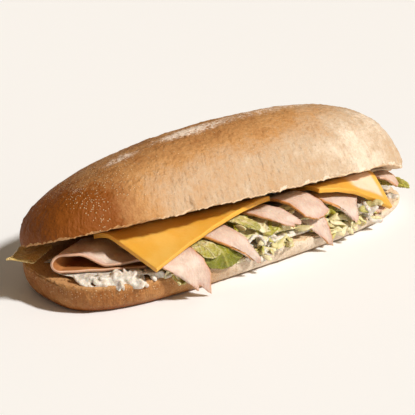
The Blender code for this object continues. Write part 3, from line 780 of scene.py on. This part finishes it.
def tongue(
    spine, widths, cross=(1, 0, 0), slant=0.0, rounding=0.12, ripple=0.5, waves=1.5, phase=0.0,
    tip=(0, 0), fray=0.9, seed=1,
):
    """A slice that runs along a spine from its hidden root to its free, torn tip.

    cross points along its width, slant makes one side of the tip longer than the other, and tip
    gives what is torn off it in millimetres, read across.
    """
    points = [Vector(point) * MM for point in spine]

    def place(across, along):
        side = 2 * across - 1
        torn = blend(tip, across) + fray * wobble(across * 14, seed, 0)
        torn += 0.5 * fray * wobble(across * 34, seed, 3)
        reach = along * (1 + slant * side - rounding * side * side * along)
        reach += along**2 * torn / SLICE_SIZE
        half = blend(widths, along) * MM / 2
        half *= 1 + 0.09 * abs(side) ** 3 * wobble(along * 7, seed + copysign(5, side), 0)
        half += 0.3 * fray * MM * abs(side) ** 6 * wobble(along * 24, seed + copysign(9, side), 0)
        wave = ripple * MM * along * sin(tau * (waves * across + phase))
        wave += 0.35 * MM * wobble(across * 4, along * 5, seed)
        return bezier(points, reach) + Vector(cross) * (side * half) + SLICE_OUTWARDS * wave

    return place


def near(value, edge, width):
    return 1 - ease(abs(value - edge), 0, width)


def near_spot(across, along, spot):
    """1 at a small spot of a slice, fading to 0 round it. No spot gives 0."""
    return near(dist((across, along), spot), 0, SPOT_REACH) if spot else 0.0


def near_rim(across, along):
    return max(near(across, 0, RIM_SIDE), near(across, 1, RIM_SIDE), near(along, 1, RIM_TIP))


def meat_marks(rind=(0, 0, 0), browned_spot=None, grey_spot=None):
    """What is kept on a slice of meat: rind gives the browning of its left, right and tip."""

    def browned(across, along):
        left, right, tip = rind
        sides = max(left * near(across, 0, RIND_SIDE), right * near(across, 1, RIND_SIDE))
        return max(sides, tip * near(along, 1, RIND_TIP), near_spot(across, along, browned_spot))

    def greyed(across, along):
        return near_spot(across, along, grey_spot)

    return {"rind": browned, "rim": near_rim, "grey": greyed}


def add_slice(node, kind, place, grid, thickness, materials, slot, marks):
    """A thin slice: a grid laid out by place(across, along), with marks kept on its points.

    materials are for its faces and then for its rim.
    """
    mesh = bmesh.new()
    bmesh.ops.create_grid(mesh, x_segments=grid[0], y_segments=grid[1], size=0.5)
    layers = {label: mesh.verts.layers.float.new(label) for label in marks}
    for vert in mesh.verts:
        across, along = vert.co.x + 0.5, vert.co.y + 0.5
        for label, value in marks.items():
            vert[layers[label]] = value(across, along)
        vert.co = place(across, along)
    name = f"{node}_{kind}"
    data = new_mesh(name, [], [], materials)
    mesh.to_mesh(data)
    mesh.free()
    data.shade_smooth()
    piece = add_piece(name, data, node, slot=slot)
    shell = piece.modifiers.new("thickness", "SOLIDIFY")
    shell.thickness = thickness
    shell.offset = 0
    shell.material_offset = len(materials) - 2
    shell.material_offset_rim = len(materials) - 1
    return piece


def paint_turkey(shade):
    """Pale meat with faint pinker patches along its grain, and a browned rind where it has one. It
    is painted pinker towards its rim as shade, and whiter in its middle as a highlight.
    """
    blotch = shade.clouds(5, 5, roughness=0.62)
    fibre = shade.clouds(1.3, squeeze=(1.6, 0.5, 0.5))
    body = (0.45 * blotch.above(0.38, 0.68)).mixed(TURKEY_PALE, TURKEY_PINK)
    body = (0.55 * shade.clouds(7).above(0.4, 0.7)).mixed(body, TURKEY_WHITE)
    faint = shade.clouds(3).above(0.62, 0.74) * 0.3
    grey = faint + 0.9 * shade.painted("grey") * shade.clouds(2)
    body = grey.mixed(body, TURKEY_GREY)
    body = (0.4 * fibre.above(0.45, 0.7)).mixed(body, TURKEY_WHITE)
    rim = shade.painted("rim")
    # Painted highlight: whiter patches away from the rim. Painted shade: pinker towards the rim.
    body = (0.45 * (1 - rim) * shade.clouds(9, 2)).mixed(body, TURKEY_WHITE)
    body = (0.55 * rim).mixed(body, TURKEY_PINK)
    browned = (shade.painted("rind") * (0.5 + 0.9 * shade.clouds(2.4))).above(0.28, 0.85)
    return {
        "Base Color": browned.mixed(body, TURKEY_RIND),
        "Roughness": 0.30 + 0.3 * fibre,
        "Height": 0.6 * fibre + 0.5 * shade.clouds(0.8, 2) + blotch,
        "Depth": 0.6,
    }


def paint_hollow_shade(shade):
    """Painted shade for the inside of the fold: deep red-brown, where the light doesn't reach."""
    return {
        "Base Color": shade.clouds(6).mixed(TURKEY_HOLLOW_SHADE, TURKEY_RIND),
        "Roughness": 0.35 + 0.3 * shade.clouds(1.5),
    }


def paint_turkey_edge(shade):
    """The cut edge: pinker than the face, and brown where the rind is."""
    browned = (shade.painted("rind") + 0.5 * (shade.clouds(2.5) - 0.5)).above(0.25, 0.8)
    body = browned.mixed(TURKEY_CUT, TURKEY_RIND)
    return {"Base Color": body, "Roughness": 0.4 + 0.2 * shade.clouds(1.5)}


turkey = finish("turkey_meat", paint_turkey, subsurface=0.2)
turkey_edge = finish("turkey_cut_edge", paint_turkey_edge, subsurface=0.2)
turkey_hollow_shade = finish("turkey_hollow_shade", paint_hollow_shade)
for number, (node, values) in enumerate(TURKEY_SLICES.items()):
    looks = {key: values.pop(key) for key in ("rind", "browned_spot") if key in values}
    add_slice(
        node, "slice", tongue(seed=number + 1, **values), SLICE_GRID, TURKEY_THICKNESS,
        (turkey, turkey_edge), "turkey", meat_marks(**looks),
    )


# The folded slice at the left end: the same turkey doubled over, so that its loop is open to the
# front. Its inner side is painted deep red-brown as shade. It is laid in loose and its upper leaf
# sags.
FOLD_FRONT = Vector((0.891, -0.454, 0)).normalized()
FOLD_BACK = Vector((0.885, 0.465, 0)).normalized()
FOLD_LEAF = 41 * MM
FOLD_DEPTH = 30 * MM
FOLD_TAPER = 0.72
FOLD_RADIUS = 4.4 * MM
FOLD_MIDDLE = 23.9 * MM
FOLD_LEAF_SHARE = 0.42
FOLD_SAG = 6.6 * MM
FOLD_SAG_BACK_LOSS = 0.55
FOLD_RISE = 1.2 * MM
FOLD_BACK_DROP = 2.4 * MM
FOLD_FRONT_DROP = 0.1 * MM
FOLD_SLOPE = -0.035
FOLD_GRID = (170, 40)


def fold_profile(across):
    """Distance in from the crease, and the side: -1 on the lower leaf, 1 on the upper one."""
    if across < FOLD_LEAF_SHARE:
        return FOLD_LEAF * (1 - across / FOLD_LEAF_SHARE), -1.0
    if across > 1 - FOLD_LEAF_SHARE:
        return FOLD_LEAF * (across - 1 + FOLD_LEAF_SHARE) / FOLD_LEAF_SHARE, 1.0
    turn = pi * (across - FOLD_LEAF_SHARE) / (1 - 2 * FOLD_LEAF_SHARE)
    return -FOLD_RADIUS * sin(turn), -cos(turn)


def fold_place(across, along):
    """The slice doubled over at the left end, its loop open to the front; along runs inwards."""
    out, side = fold_profile(across)
    opened = max(0, out) / FOLD_LEAF
    depth = FOLD_DEPTH * along * (1 - FOLD_TAPER * ease(opened, 0.25, 1))
    depth += 0.7 * MM * wobble(across * 11, 7, 0) * (1 - along)
    point = FOLD_CREASE + FOLD_FRONT * out + FOLD_BACK * depth
    height = FOLD_MIDDLE + side * FOLD_RADIUS + FOLD_SLOPE * (point.x - FOLD_CREASE.x)
    if side > 0:
        height -= FOLD_SAG * ease(opened, 0.2, 0.54) * (1 - FOLD_SAG_BACK_LOSS * along)
        height += FOLD_RISE * ease(opened, 0.6, 0.95)
        height -= FOLD_BACK_DROP * along * side
    else:
        height -= FOLD_FRONT_DROP * opened
    height += 0.3 * MM * wobble(across * 12, along * 3, 2)
    return Vector((point.x, point.y, height))


fold_marks = meat_marks((0.0, 0.2, 0.15), grey_spot=(0.83, 0.84))
add_slice(
    "turkey_fold", "slice", lambda across, along: fold_place(across, 1 - along), FOLD_GRID,
    TURKEY_THICKNESS, (turkey_hollow_shade, turkey, turkey_edge), "turkey", fold_marks,
)


# The cheese: two square slices of smooth yellow cheese, each laid with a corner hanging out of the
# front. They have softened in the warmth, and their cut edges are a deeper gold.
# The pale patch on the right slice is a painted highlight.
CHEESE_THICKNESS = 2.4 * MM
CHEESE_CEILING_GAP = 2.6 * MM
CHEESE_CEILING_SOFTNESS = 1.2 * MM
CHEESE_BEVEL = 0.35 * MM
CHEESE_BEVEL_ANGLE = radians(55)
CHEESE_GRID = (60, 36)
CHEESE_YELLOW = (0.71, 0.375, 0.045)
CHEESE_LIGHT = (0.74, 0.44, 0.09)
# Painted highlight colour for the right slice.
CHEESE_HIGHLIGHT = (0.84, 0.63, 0.47)
CHEESE_EDGE = (0.82, 0.43, 0.05)
CHEESE_SLICES = {
    "cheese_left": dict(
        corner=(-76, -44.5), turn=radians(11.5), length=89, depth=40,
        front=(23.0, 27.6, 31.0, 32.9, 32.6), rise=(0.34, 0.22, 0.02, -0.12, -0.2),
    ),
    "cheese_right": dict(
        corner=(37, -35), turn=radians(-7.5), length=46, depth=30,
        front=(31.5, 29.5, 25.5, 19.0, 11.8), rise=(0.0, 0.15, 0.35, 0.6, 0.78),
    ),
}


def crown_face(x, y):
    """Height of the top half's cut face, which flattens where it meets the bottom half."""
    out = Vector((x, y, 0)) - CROWN_CENTRE
    plane = CROWN_CENTRE.z - (CROWN_UP.x * out.x + CROWN_UP.y * out.y) / CROWN_UP.z
    return smooth_max(plane, heel_top(x) + CROWN_BACK_GAP, CROWN_BACK_SOFTNESS)


def cheese_place(corner, turn, length, depth, front, rise):
    """A square-cut slice from its front corner: front is the height along its front edge."""
    along_front = Vector((cos(turn), sin(turn), 0))
    inwards = Vector((-sin(turn), cos(turn), 0))

    def place(across, along):
        plan = Vector((*corner, 0)) * MM + along_front * (length * MM * across)
        plan += inwards * (depth * MM * along)
        plan += inwards * (0.35 * MM * wobble(across * 9, corner[0], 0) * (1 - along))
        height = (blend(front, across) + blend(rise, across) * depth * along) * MM
        height += 0.35 * MM * wobble(across * 5, along * 4, corner[0])
        ceiling = crown_face(plan.x, plan.y) - CHEESE_CEILING_GAP
        height = -smooth_max(-height, -ceiling, CHEESE_CEILING_SOFTNESS)
        return Vector((plan.x, plan.y, height))

    return place


def cheese_painted_highlight(across, along):
    """Painted highlight on the right slice: a pale patch over its face, clear of its edges."""
    clear_of_sides = ease(across, 0.42, 0.62) * (1 - ease(across, 0.90, 0.97))
    return clear_of_sides * ease(along, 0.05, 0.2)


def paint_cheese(shade):
    soft = shade.clouds(14)
    fine = shade.clouds(1.6)
    # Painted highlight: the pale patch on the right slice.
    highlight = (shade.painted("shine") * (0.5 + shade.clouds(6))).above(0.1, 1.0)
    body = soft.above(0.35, 0.7).mixed(CHEESE_YELLOW, CHEESE_LIGHT)
    return {
        "Base Color": highlight.mixed(body, CHEESE_HIGHLIGHT),
        "Roughness": 0.30 + 0.2 * fine,
        "Height": 0.5 * fine + soft,
        "Depth": 0.35,
    }


def paint_cheese_edge(shade):
    body = shade.clouds(3).mixed(CHEESE_EDGE, CHEESE_YELLOW)
    return {"Base Color": body, "Roughness": 0.35 + 0.2 * shade.clouds(2)}


cheese = finish("cheese_face", paint_cheese, subsurface=0.25)
cheese_edge = finish("cheese_cut_edge", paint_cheese_edge, subsurface=0.25)
for node, values in CHEESE_SLICES.items():
    # Only the right slice gets the painted highlight.
    highlight = cheese_painted_highlight if node == "cheese_right" else lambda across, along: 0.0
    piece = add_slice(
        node, "slice", cheese_place(**values), CHEESE_GRID, CHEESE_THICKNESS,
        (cheese, cheese_edge), "cheese", {"shine": highlight},
    )
    rounding = piece.modifiers.new("softened_edges", "BEVEL")
    rounding.width = CHEESE_BEVEL
    rounding.segments = 2
    rounding.limit_method = "ANGLE"
    rounding.angle_limit = CHEESE_BEVEL_ANGLE


# The lettuce leaves: torn pieces of a crisp pale head, ruffled and veined, caught between the
# slices. The larger ones are green, and the thin ones near the heart are almost white.
LEAF_THICKNESS = 0.9 * MM
LEAF_GRID = (56, 64)
LEAF_RUFFLE = 0.55
LEAF_VEIN = 0.25
LEAF_GREEN = (0.17, 0.175, 0.005)
LEAF_LIGHT = (0.32, 0.29, 0.018)
LEAF_VEIN_COLOUR = (0.50, 0.44, 0.11)
PALE_GREEN = (0.56, 0.50, 0.16)
PALE_HEART = (0.79, 0.69, 0.44)
# Tan colours for the lettuce at the left end, matched to how it looks in the shade there: painted
# shade.
SHADE_TINTED_DEEP = (0.80, 0.55, 0.18)
SHADE_TINTED_LIGHT = (0.88, 0.66, 0.34)
TIP_DEEP = (0.46, 0.42, 0.05)
LEAVES = {
    "lettuce_left_end": dict(
        look="wilted_leaf",
        spine=((-94, 16, 21.3), (-103, 14, 22), (-112, 12, 21), (-123, 12, 23.4)),
        widths=(4, 11, 18, 2), cross=(0.25, 1, 0.06), ripple=0.9, waves=1.2,
    ),
    "lettuce_front": dict(
        look="lettuce_leaf",
        spine=((-33, -32, 21.7), (-33, -38, 24.2), (-33, -42.5, 19.6), (-30, -42.2, 10.8)),
        widths=(20, 22, 27, 20), ripple=0.7, waves=2.2,
    ),
    "lettuce_thin": dict(
        spine=((-42, -22, 22.4), (-42, -33, 25.2), (-41, -41, 24), (-39.5, -44.2, 19.4)),
        widths=(9, 11, 12, 11), ripple=0.3,
    ),
    "lettuce_rib": dict(
        spine=((-16, -22, 27.5), (-14, -30, 29), (-11, -36, 28), (-7, -39, 23.5)),
        widths=(8, 9, 8, 6), ripple=0.2,
    ),
    "lettuce_right_end": dict(
        look="lettuce_tip",
        spine=((97, -12, 14.5), (101, -20, 15.2), (105, -26, 17), (107.5, -28.5, 13)),
        widths=(4, 4, 5, 3), cross=(0.24, 0.45, 0.85), ripple=0.3,
    ),
}


def vein_height(across, along):
    """The midrib and the side veins that leave it at a slant, from 0 to 1."""
    side = abs(2 * across - 1)
    branch = abs(sin(pi * (5 * along - 2.2 * side)))
    branches = 0.7 * exp(-((branch / 0.22) ** 2)) * (1 - 0.5 * side)
    return max(exp(-((side / 0.07) ** 2)), branches)


def leaf_place(seed, values):
    """A leaf's tongue with veins raised on it and a ruffled edge."""
    base = tongue(seed=seed, fray=1.4, **values)

    def place(across, along):
        side = abs(2 * across - 1)
        rough = wobble(across * 9, along * 9, seed)
        ruffle = LEAF_RUFFLE * MM * max(side, along) ** 2 * rough
        vein = LEAF_VEIN * MM * vein_height(across, along)
        return base(across, along) + SLICE_OUTWARDS * (ruffle + vein)

    return place


def paint_leaf(deep, light, vein, tip):
    def paint(shade):
        crumple = shade.clouds(3.4)
        body = crumple.above(0.4, 0.68).mixed(deep, light)
        body = (shade.painted("tip") * (0.6 + 0.5 * shade.clouds(5))).mixed(body, tip)
        body = (0.45 * shade.painted("vein")).mixed(body, vein)
        edge = (shade.painted("rim") * shade.clouds(2)).above(0.25, 0.7) * 0.5
        return {
            "Base Color": edge.mixed(body, light),
            "Roughness": 0.25 + 0.25 * shade.clouds(3),
            "Height": 2 * crumple + 0.6 * shade.clouds(1.2) + 0.4 * shade.painted("vein"),
            "Depth": 0.9,
        }

    return paint


LEAF_LOOKS = {  # deep, light, vein and tip colours, and how much light sinks in
    "lettuce_leaf": ((LEAF_GREEN, LEAF_LIGHT, LEAF_VEIN_COLOUR, LEAF_GREEN), 0.15),
    "lettuce_heart": ((PALE_GREEN, PALE_HEART, PALE_HEART, LEAF_LIGHT), 0.2),
    "lettuce_tip": ((TIP_DEEP, PALE_GREEN, PALE_GREEN, TIP_DEEP), 0.2),
    # The left end's lettuce: tan, as painted shade.
    "wilted_leaf": ((SHADE_TINTED_DEEP, SHADE_TINTED_LIGHT, SHADE_TINTED_LIGHT, SHADE_TINTED_DEEP), 0.1),
}
leaf_looks = {
    name: finish(name, paint_leaf(*colours), subsurface=sunk)
    for name, (colours, sunk) in LEAF_LOOKS.items()
}
leaf_marks = {
    "rim": near_rim, "vein": vein_height, "tip": lambda across, along: ease(along, 0.5, 0.85)
}
for number, (node, values) in enumerate(LEAVES.items()):
    look = values.pop("look", "lettuce_heart")
    slot = "pale_lettuce" if look == "lettuce_heart" else "lettuce"
    add_slice(
        node, "leaf", leaf_place(number + 20, values), LEAF_GRID, LEAF_THICKNESS,
        (leaf_looks[look], leaf_looks[look]), slot, leaf_marks,
    )


# The shredded lettuce: a loose tangle of cut ribbons under the meat, pale at the rib and green at
# the leaf's edge, cupped and wet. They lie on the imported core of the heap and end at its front.
SHREDS = 165
SHRED_TRIES = 6500
SHRED_SEED = 5
SHRED_SAMPLES = 16
SHRED_SIDES = 14
SHRED_SPANS = (
    (-66 * MM, 76 * MM),  # along the roll
    (-43 * MM, -22 * MM),  # across it
    (9 * MM, 19 * MM),  # length
    (2.8 * MM, 5.2 * MM),  # width
    (-1.3, 1.3),  # heading
    (-0.7, 0.6),  # rise
    (-0.4, 2.4),  # height of its middle above what it lies on, in millimetres
)
SHRED_GREENING = (-0.25, 0.25)
SHRED_THICKNESS = 0.9 * MM
SHRED_CURL = 1.8 * MM
SHRED_CUP = 0.55
SHRED_GAP = 0.15 * MM
SHRED_SEARCH = 4 * MM
SKY = 80 * MM
CORE_VOXEL = 0.8 * MM
CORE_SOFTENING = 3


def strip_rings(start, heading, rise, length, width, thickness, curl, cup, chance):
    """Rings of points along one curling strip: a flat band, cupped by a share of its width."""
    phase = chance.uniform(0, tau)
    turns = chance.uniform(0.35, 1.0)
    roll = chance.uniform(-0.9, 0.9)
    level = cos(rise)
    forward = Vector((cos(heading) * level, sin(heading) * level, sin(rise)))
    aside = Vector((-sin(heading), cos(heading), 0))
    lift = forward.cross(aside) * -1
    rings = []
    for sample in range(SHRED_SAMPLES):
        share = sample / (SHRED_SAMPLES - 1)
        bend = tau * turns * share + phase
        centre = start + forward * (length * (share - 0.5))
        centre += aside * (curl * sin(bend)) + lift * (0.6 * curl * cos(bend * 1.3))
        twist = roll + 1.8 * (share - 0.5) * turns
        across = aside * cos(twist) + lift * sin(twist)
        through = lift * cos(twist) - aside * sin(twist)
        taper = min(1.0, 0.45 + 5 * min(share, 1 - share)) * (1 + 0.18 * sin(3 * bend))
        ring = []
        for side in range(SHRED_SIDES):
            angle = tau * side / SHRED_SIDES
            out = signed_power(cos(angle), 0.8)
            sink = cup * width * taper * (out * out - 0.5)
            deep = signed_power(sin(angle), 0.6) * thickness / 2 * min(1, taper + 0.3)
            ring.append(centre + across * (out * width / 2 * taper) + through * (deep + sink))
        rings.append(ring)
    return rings


def strip_mesh(strips, name, material):
    """Joins strips into one mesh. Each keeps its own tone, greener towards one of its edges."""
    spots, faces, tones = [], [], []
    for rings, tone, greening in strips:
        first, sides = len(spots), len(rings[0])
        for ring in rings:
            spots += [tuple(spot) for spot in ring]
            tones += [tone + greening * cos(tau * side / sides) for side in range(sides)]
        last = len(spots) - sides
        for low in range(first, last, sides):
            for side in range(sides):
                after, high = (side + 1) % sides, low + sides
                faces.append((low + side, low + after, high + after, high + side))
        faces.append(tuple(first + side for side in reversed(range(sides))))
        faces.append(tuple(last + side for side in range(sides)))
    mesh = new_mesh(name, spots, faces, (material,))
    mark(mesh, "tone", tones)
    return mesh


def tree_of(*names):
    """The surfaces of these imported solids, to rest pieces on or to keep them clear."""
    skins = [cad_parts[name].data for name in names]
    return [
        BVHTree.FromPolygons(
            [vert.co for vert in skin.vertices], [face.vertices for face in skin.polygons]
        )
        for skin in skins
    ]


def resting_height(trees, x, y):
    """Height of the highest of these surfaces here, or none."""
    start, down = Vector((x, y, SKY)), Vector((0, 0, -1))
    hits = [tree.ray_cast(start, down)[0] for tree in trees]
    return max((hit.z for hit in hits if hit is not None), default=None)


def is_clear(rings, obstacles, gap):
    """Whether a strip's points stay this far from these surfaces, and none lies inside them."""
    for ring in rings:
        for spot in ring[::2]:
            for tree in obstacles:
                nearest, normal, _, _ = tree.find_nearest(spot, SHRED_SEARCH)
                if nearest is not None and (spot - nearest).dot(normal) < gap:
                    return False
    return True


def fuse(piece, voxel, rounds):
    """Melts a piece's overlapping parts into one skin, and softens it."""
    melted = piece.modifiers.new("melted", "REMESH")
    melted.voxel_size = voxel
    melted.use_smooth_shade = True
    softened = piece.modifiers.new("softened", "SMOOTH")
    softened.iterations = rounds
    softened.factor = 0.5


def lettuce_tones(tone):
    """From the pale rib at 0 to the green leaf at 1."""
    return tone.ramped((0.1, PALE_HEART), (0.5, PALE_GREEN), (0.75, LEAF_LIGHT), (1.0, LEAF_GREEN))


def paint_shred(shade):
    """Pale ribs to green leaf across each ribbon, wet and lightly veined."""
    tone = shade.painted("tone") + 0.4 * (shade.clouds(3.5, 2) - 0.5)
    return {
        "Base Color": lettuce_tones(tone),
        "Roughness": 0.22 + 0.25 * shade.clouds(2),
        "Height": shade.clouds(0.9),
        "Depth": 0.4,
    }


def paint_core(shade):
    """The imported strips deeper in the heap: pale and green in patches as wide as a strip."""
    tone = 1.3 * (shade.clouds(3.2) - 0.38)
    return {
        "Base Color": lettuce_tones(tone),
        "Roughness": 0.3 + 0.25 * shade.clouds(2),
        "Height": shade.clouds(1.6),
        "Depth": 0.8,
    }


shredded = finish("shredded_lettuce", paint_shred, subsurface=0.2)
packed_strips = finish("packed_lettuce", paint_core, subsurface=0.2)
under = ("lettuce_heap", "cream", "bun_bottom")
covers = tree_of(*(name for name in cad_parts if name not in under))
bed = tree_of(*under)


def draw(chance, spans):
    return [chance.uniform(*span) for span in spans]


def scatter_strips():
    chance = random.Random(SHRED_SEED)
    strips = []
    for _ in range(SHRED_TRIES):
        x, y, length, width, heading, rise, lift = draw(chance, SHRED_SPANS)
        tone = 0.1 + 0.6 * chance.random() ** 1.5
        greening = chance.uniform(*SHRED_GREENING)
        ground = resting_height(bed, x, y)
        if ground is None or len(strips) == SHREDS:
            continue
        start = Vector((x, y, ground + lift * MM))
        curl, cup = SHRED_CURL * chance.uniform(0.3, 1), SHRED_CUP * chance.uniform(0.3, 1)
        sizes = (length, width, SHRED_THICKNESS, curl, cup)
        rings = strip_rings(start, heading, rise, *sizes, chance)
        if is_clear(rings, covers, SHRED_GAP):
            strips.append((rings, tone, greening))
    return strips


loose = strip_mesh(scatter_strips(), "loose_lettuce", shredded)
add_piece("loose_lettuce", loose, slot="lettuce")
core_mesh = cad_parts["lettuce_heap"].data.copy()
core_mesh.name = "lettuce_core"
core_mesh.materials.clear()
core_mesh.materials.append(packed_strips)
core = add_piece("lettuce_core", core_mesh, "lettuce_heap", slot="lettuce")
fuse(core, CORE_VOXEL, CORE_SOFTENING)


# Strips coated in dressing: short thick curls of lettuce that have been tossed in it, white and
# wet, and melted together. They lie where the filling is pressed out over the bottom half's front.
CLUMP_SEED = 8
CLUMPS = (  # middle in millimetres, number of strips, and reach
    ((-98, -21), 5, 6), ((-91, -25), 9, 7), ((-84, -29), 11, 8), ((-77, -32), 10, 7),
    ((-69, -35), 7, 6), ((-12, -41), 9, 6), ((-3, -40), 9, 6), ((51, -43), 7, 6),
    ((59, -41), 9, 6), ((67, -38), 8, 6), ((101, -21), 3, 2),
)
TRIES_PER_STRIP = 8
DRESSED_SPANS = (
    (6 * MM, 13 * MM),  # length
    (2.4 * MM, 4.4 * MM),  # width
    (-1.6, 1.2),  # heading
    (-0.5, 0.4),  # rise
    (-0.8, 0.4),  # height of its middle above what it lies on, in millimetres
)
DRESSED_SHAPE = (1.9 * MM, 1.0 * MM, 0.1)  # thickness, curl and cup
DRESSED_VOXEL = 0.4 * MM
DRESSED_SOFTENING = 14


def clump_strips():
    chance = random.Random(CLUMP_SEED)
    strips = []
    for (middle_x, middle_y), count, spread in CLUMPS:
        for _ in range(count * TRIES_PER_STRIP):
            x = (middle_x + chance.gauss(0, spread / 2)) * MM
            y = (middle_y + chance.gauss(0, spread / 6)) * MM
            length, width, heading, rise, lift = draw(chance, DRESSED_SPANS)
            ground = resting_height(bed, x, y)
            if ground is None or count == 0:
                continue
            start = Vector((x, y, ground + lift * MM))
            rings = strip_rings(start, heading, rise, length, width, *DRESSED_SHAPE, chance)
            if is_clear(rings, covers, SHRED_GAP):
                strips.append((rings, 0, 0))
                count -= 1
    return strips


dressed = strip_mesh(clump_strips(), "dressed_lettuce", cream)
fuse(add_piece("dressed_lettuce", dressed, slot="cream"), DRESSED_VOXEL, DRESSED_SOFTENING)
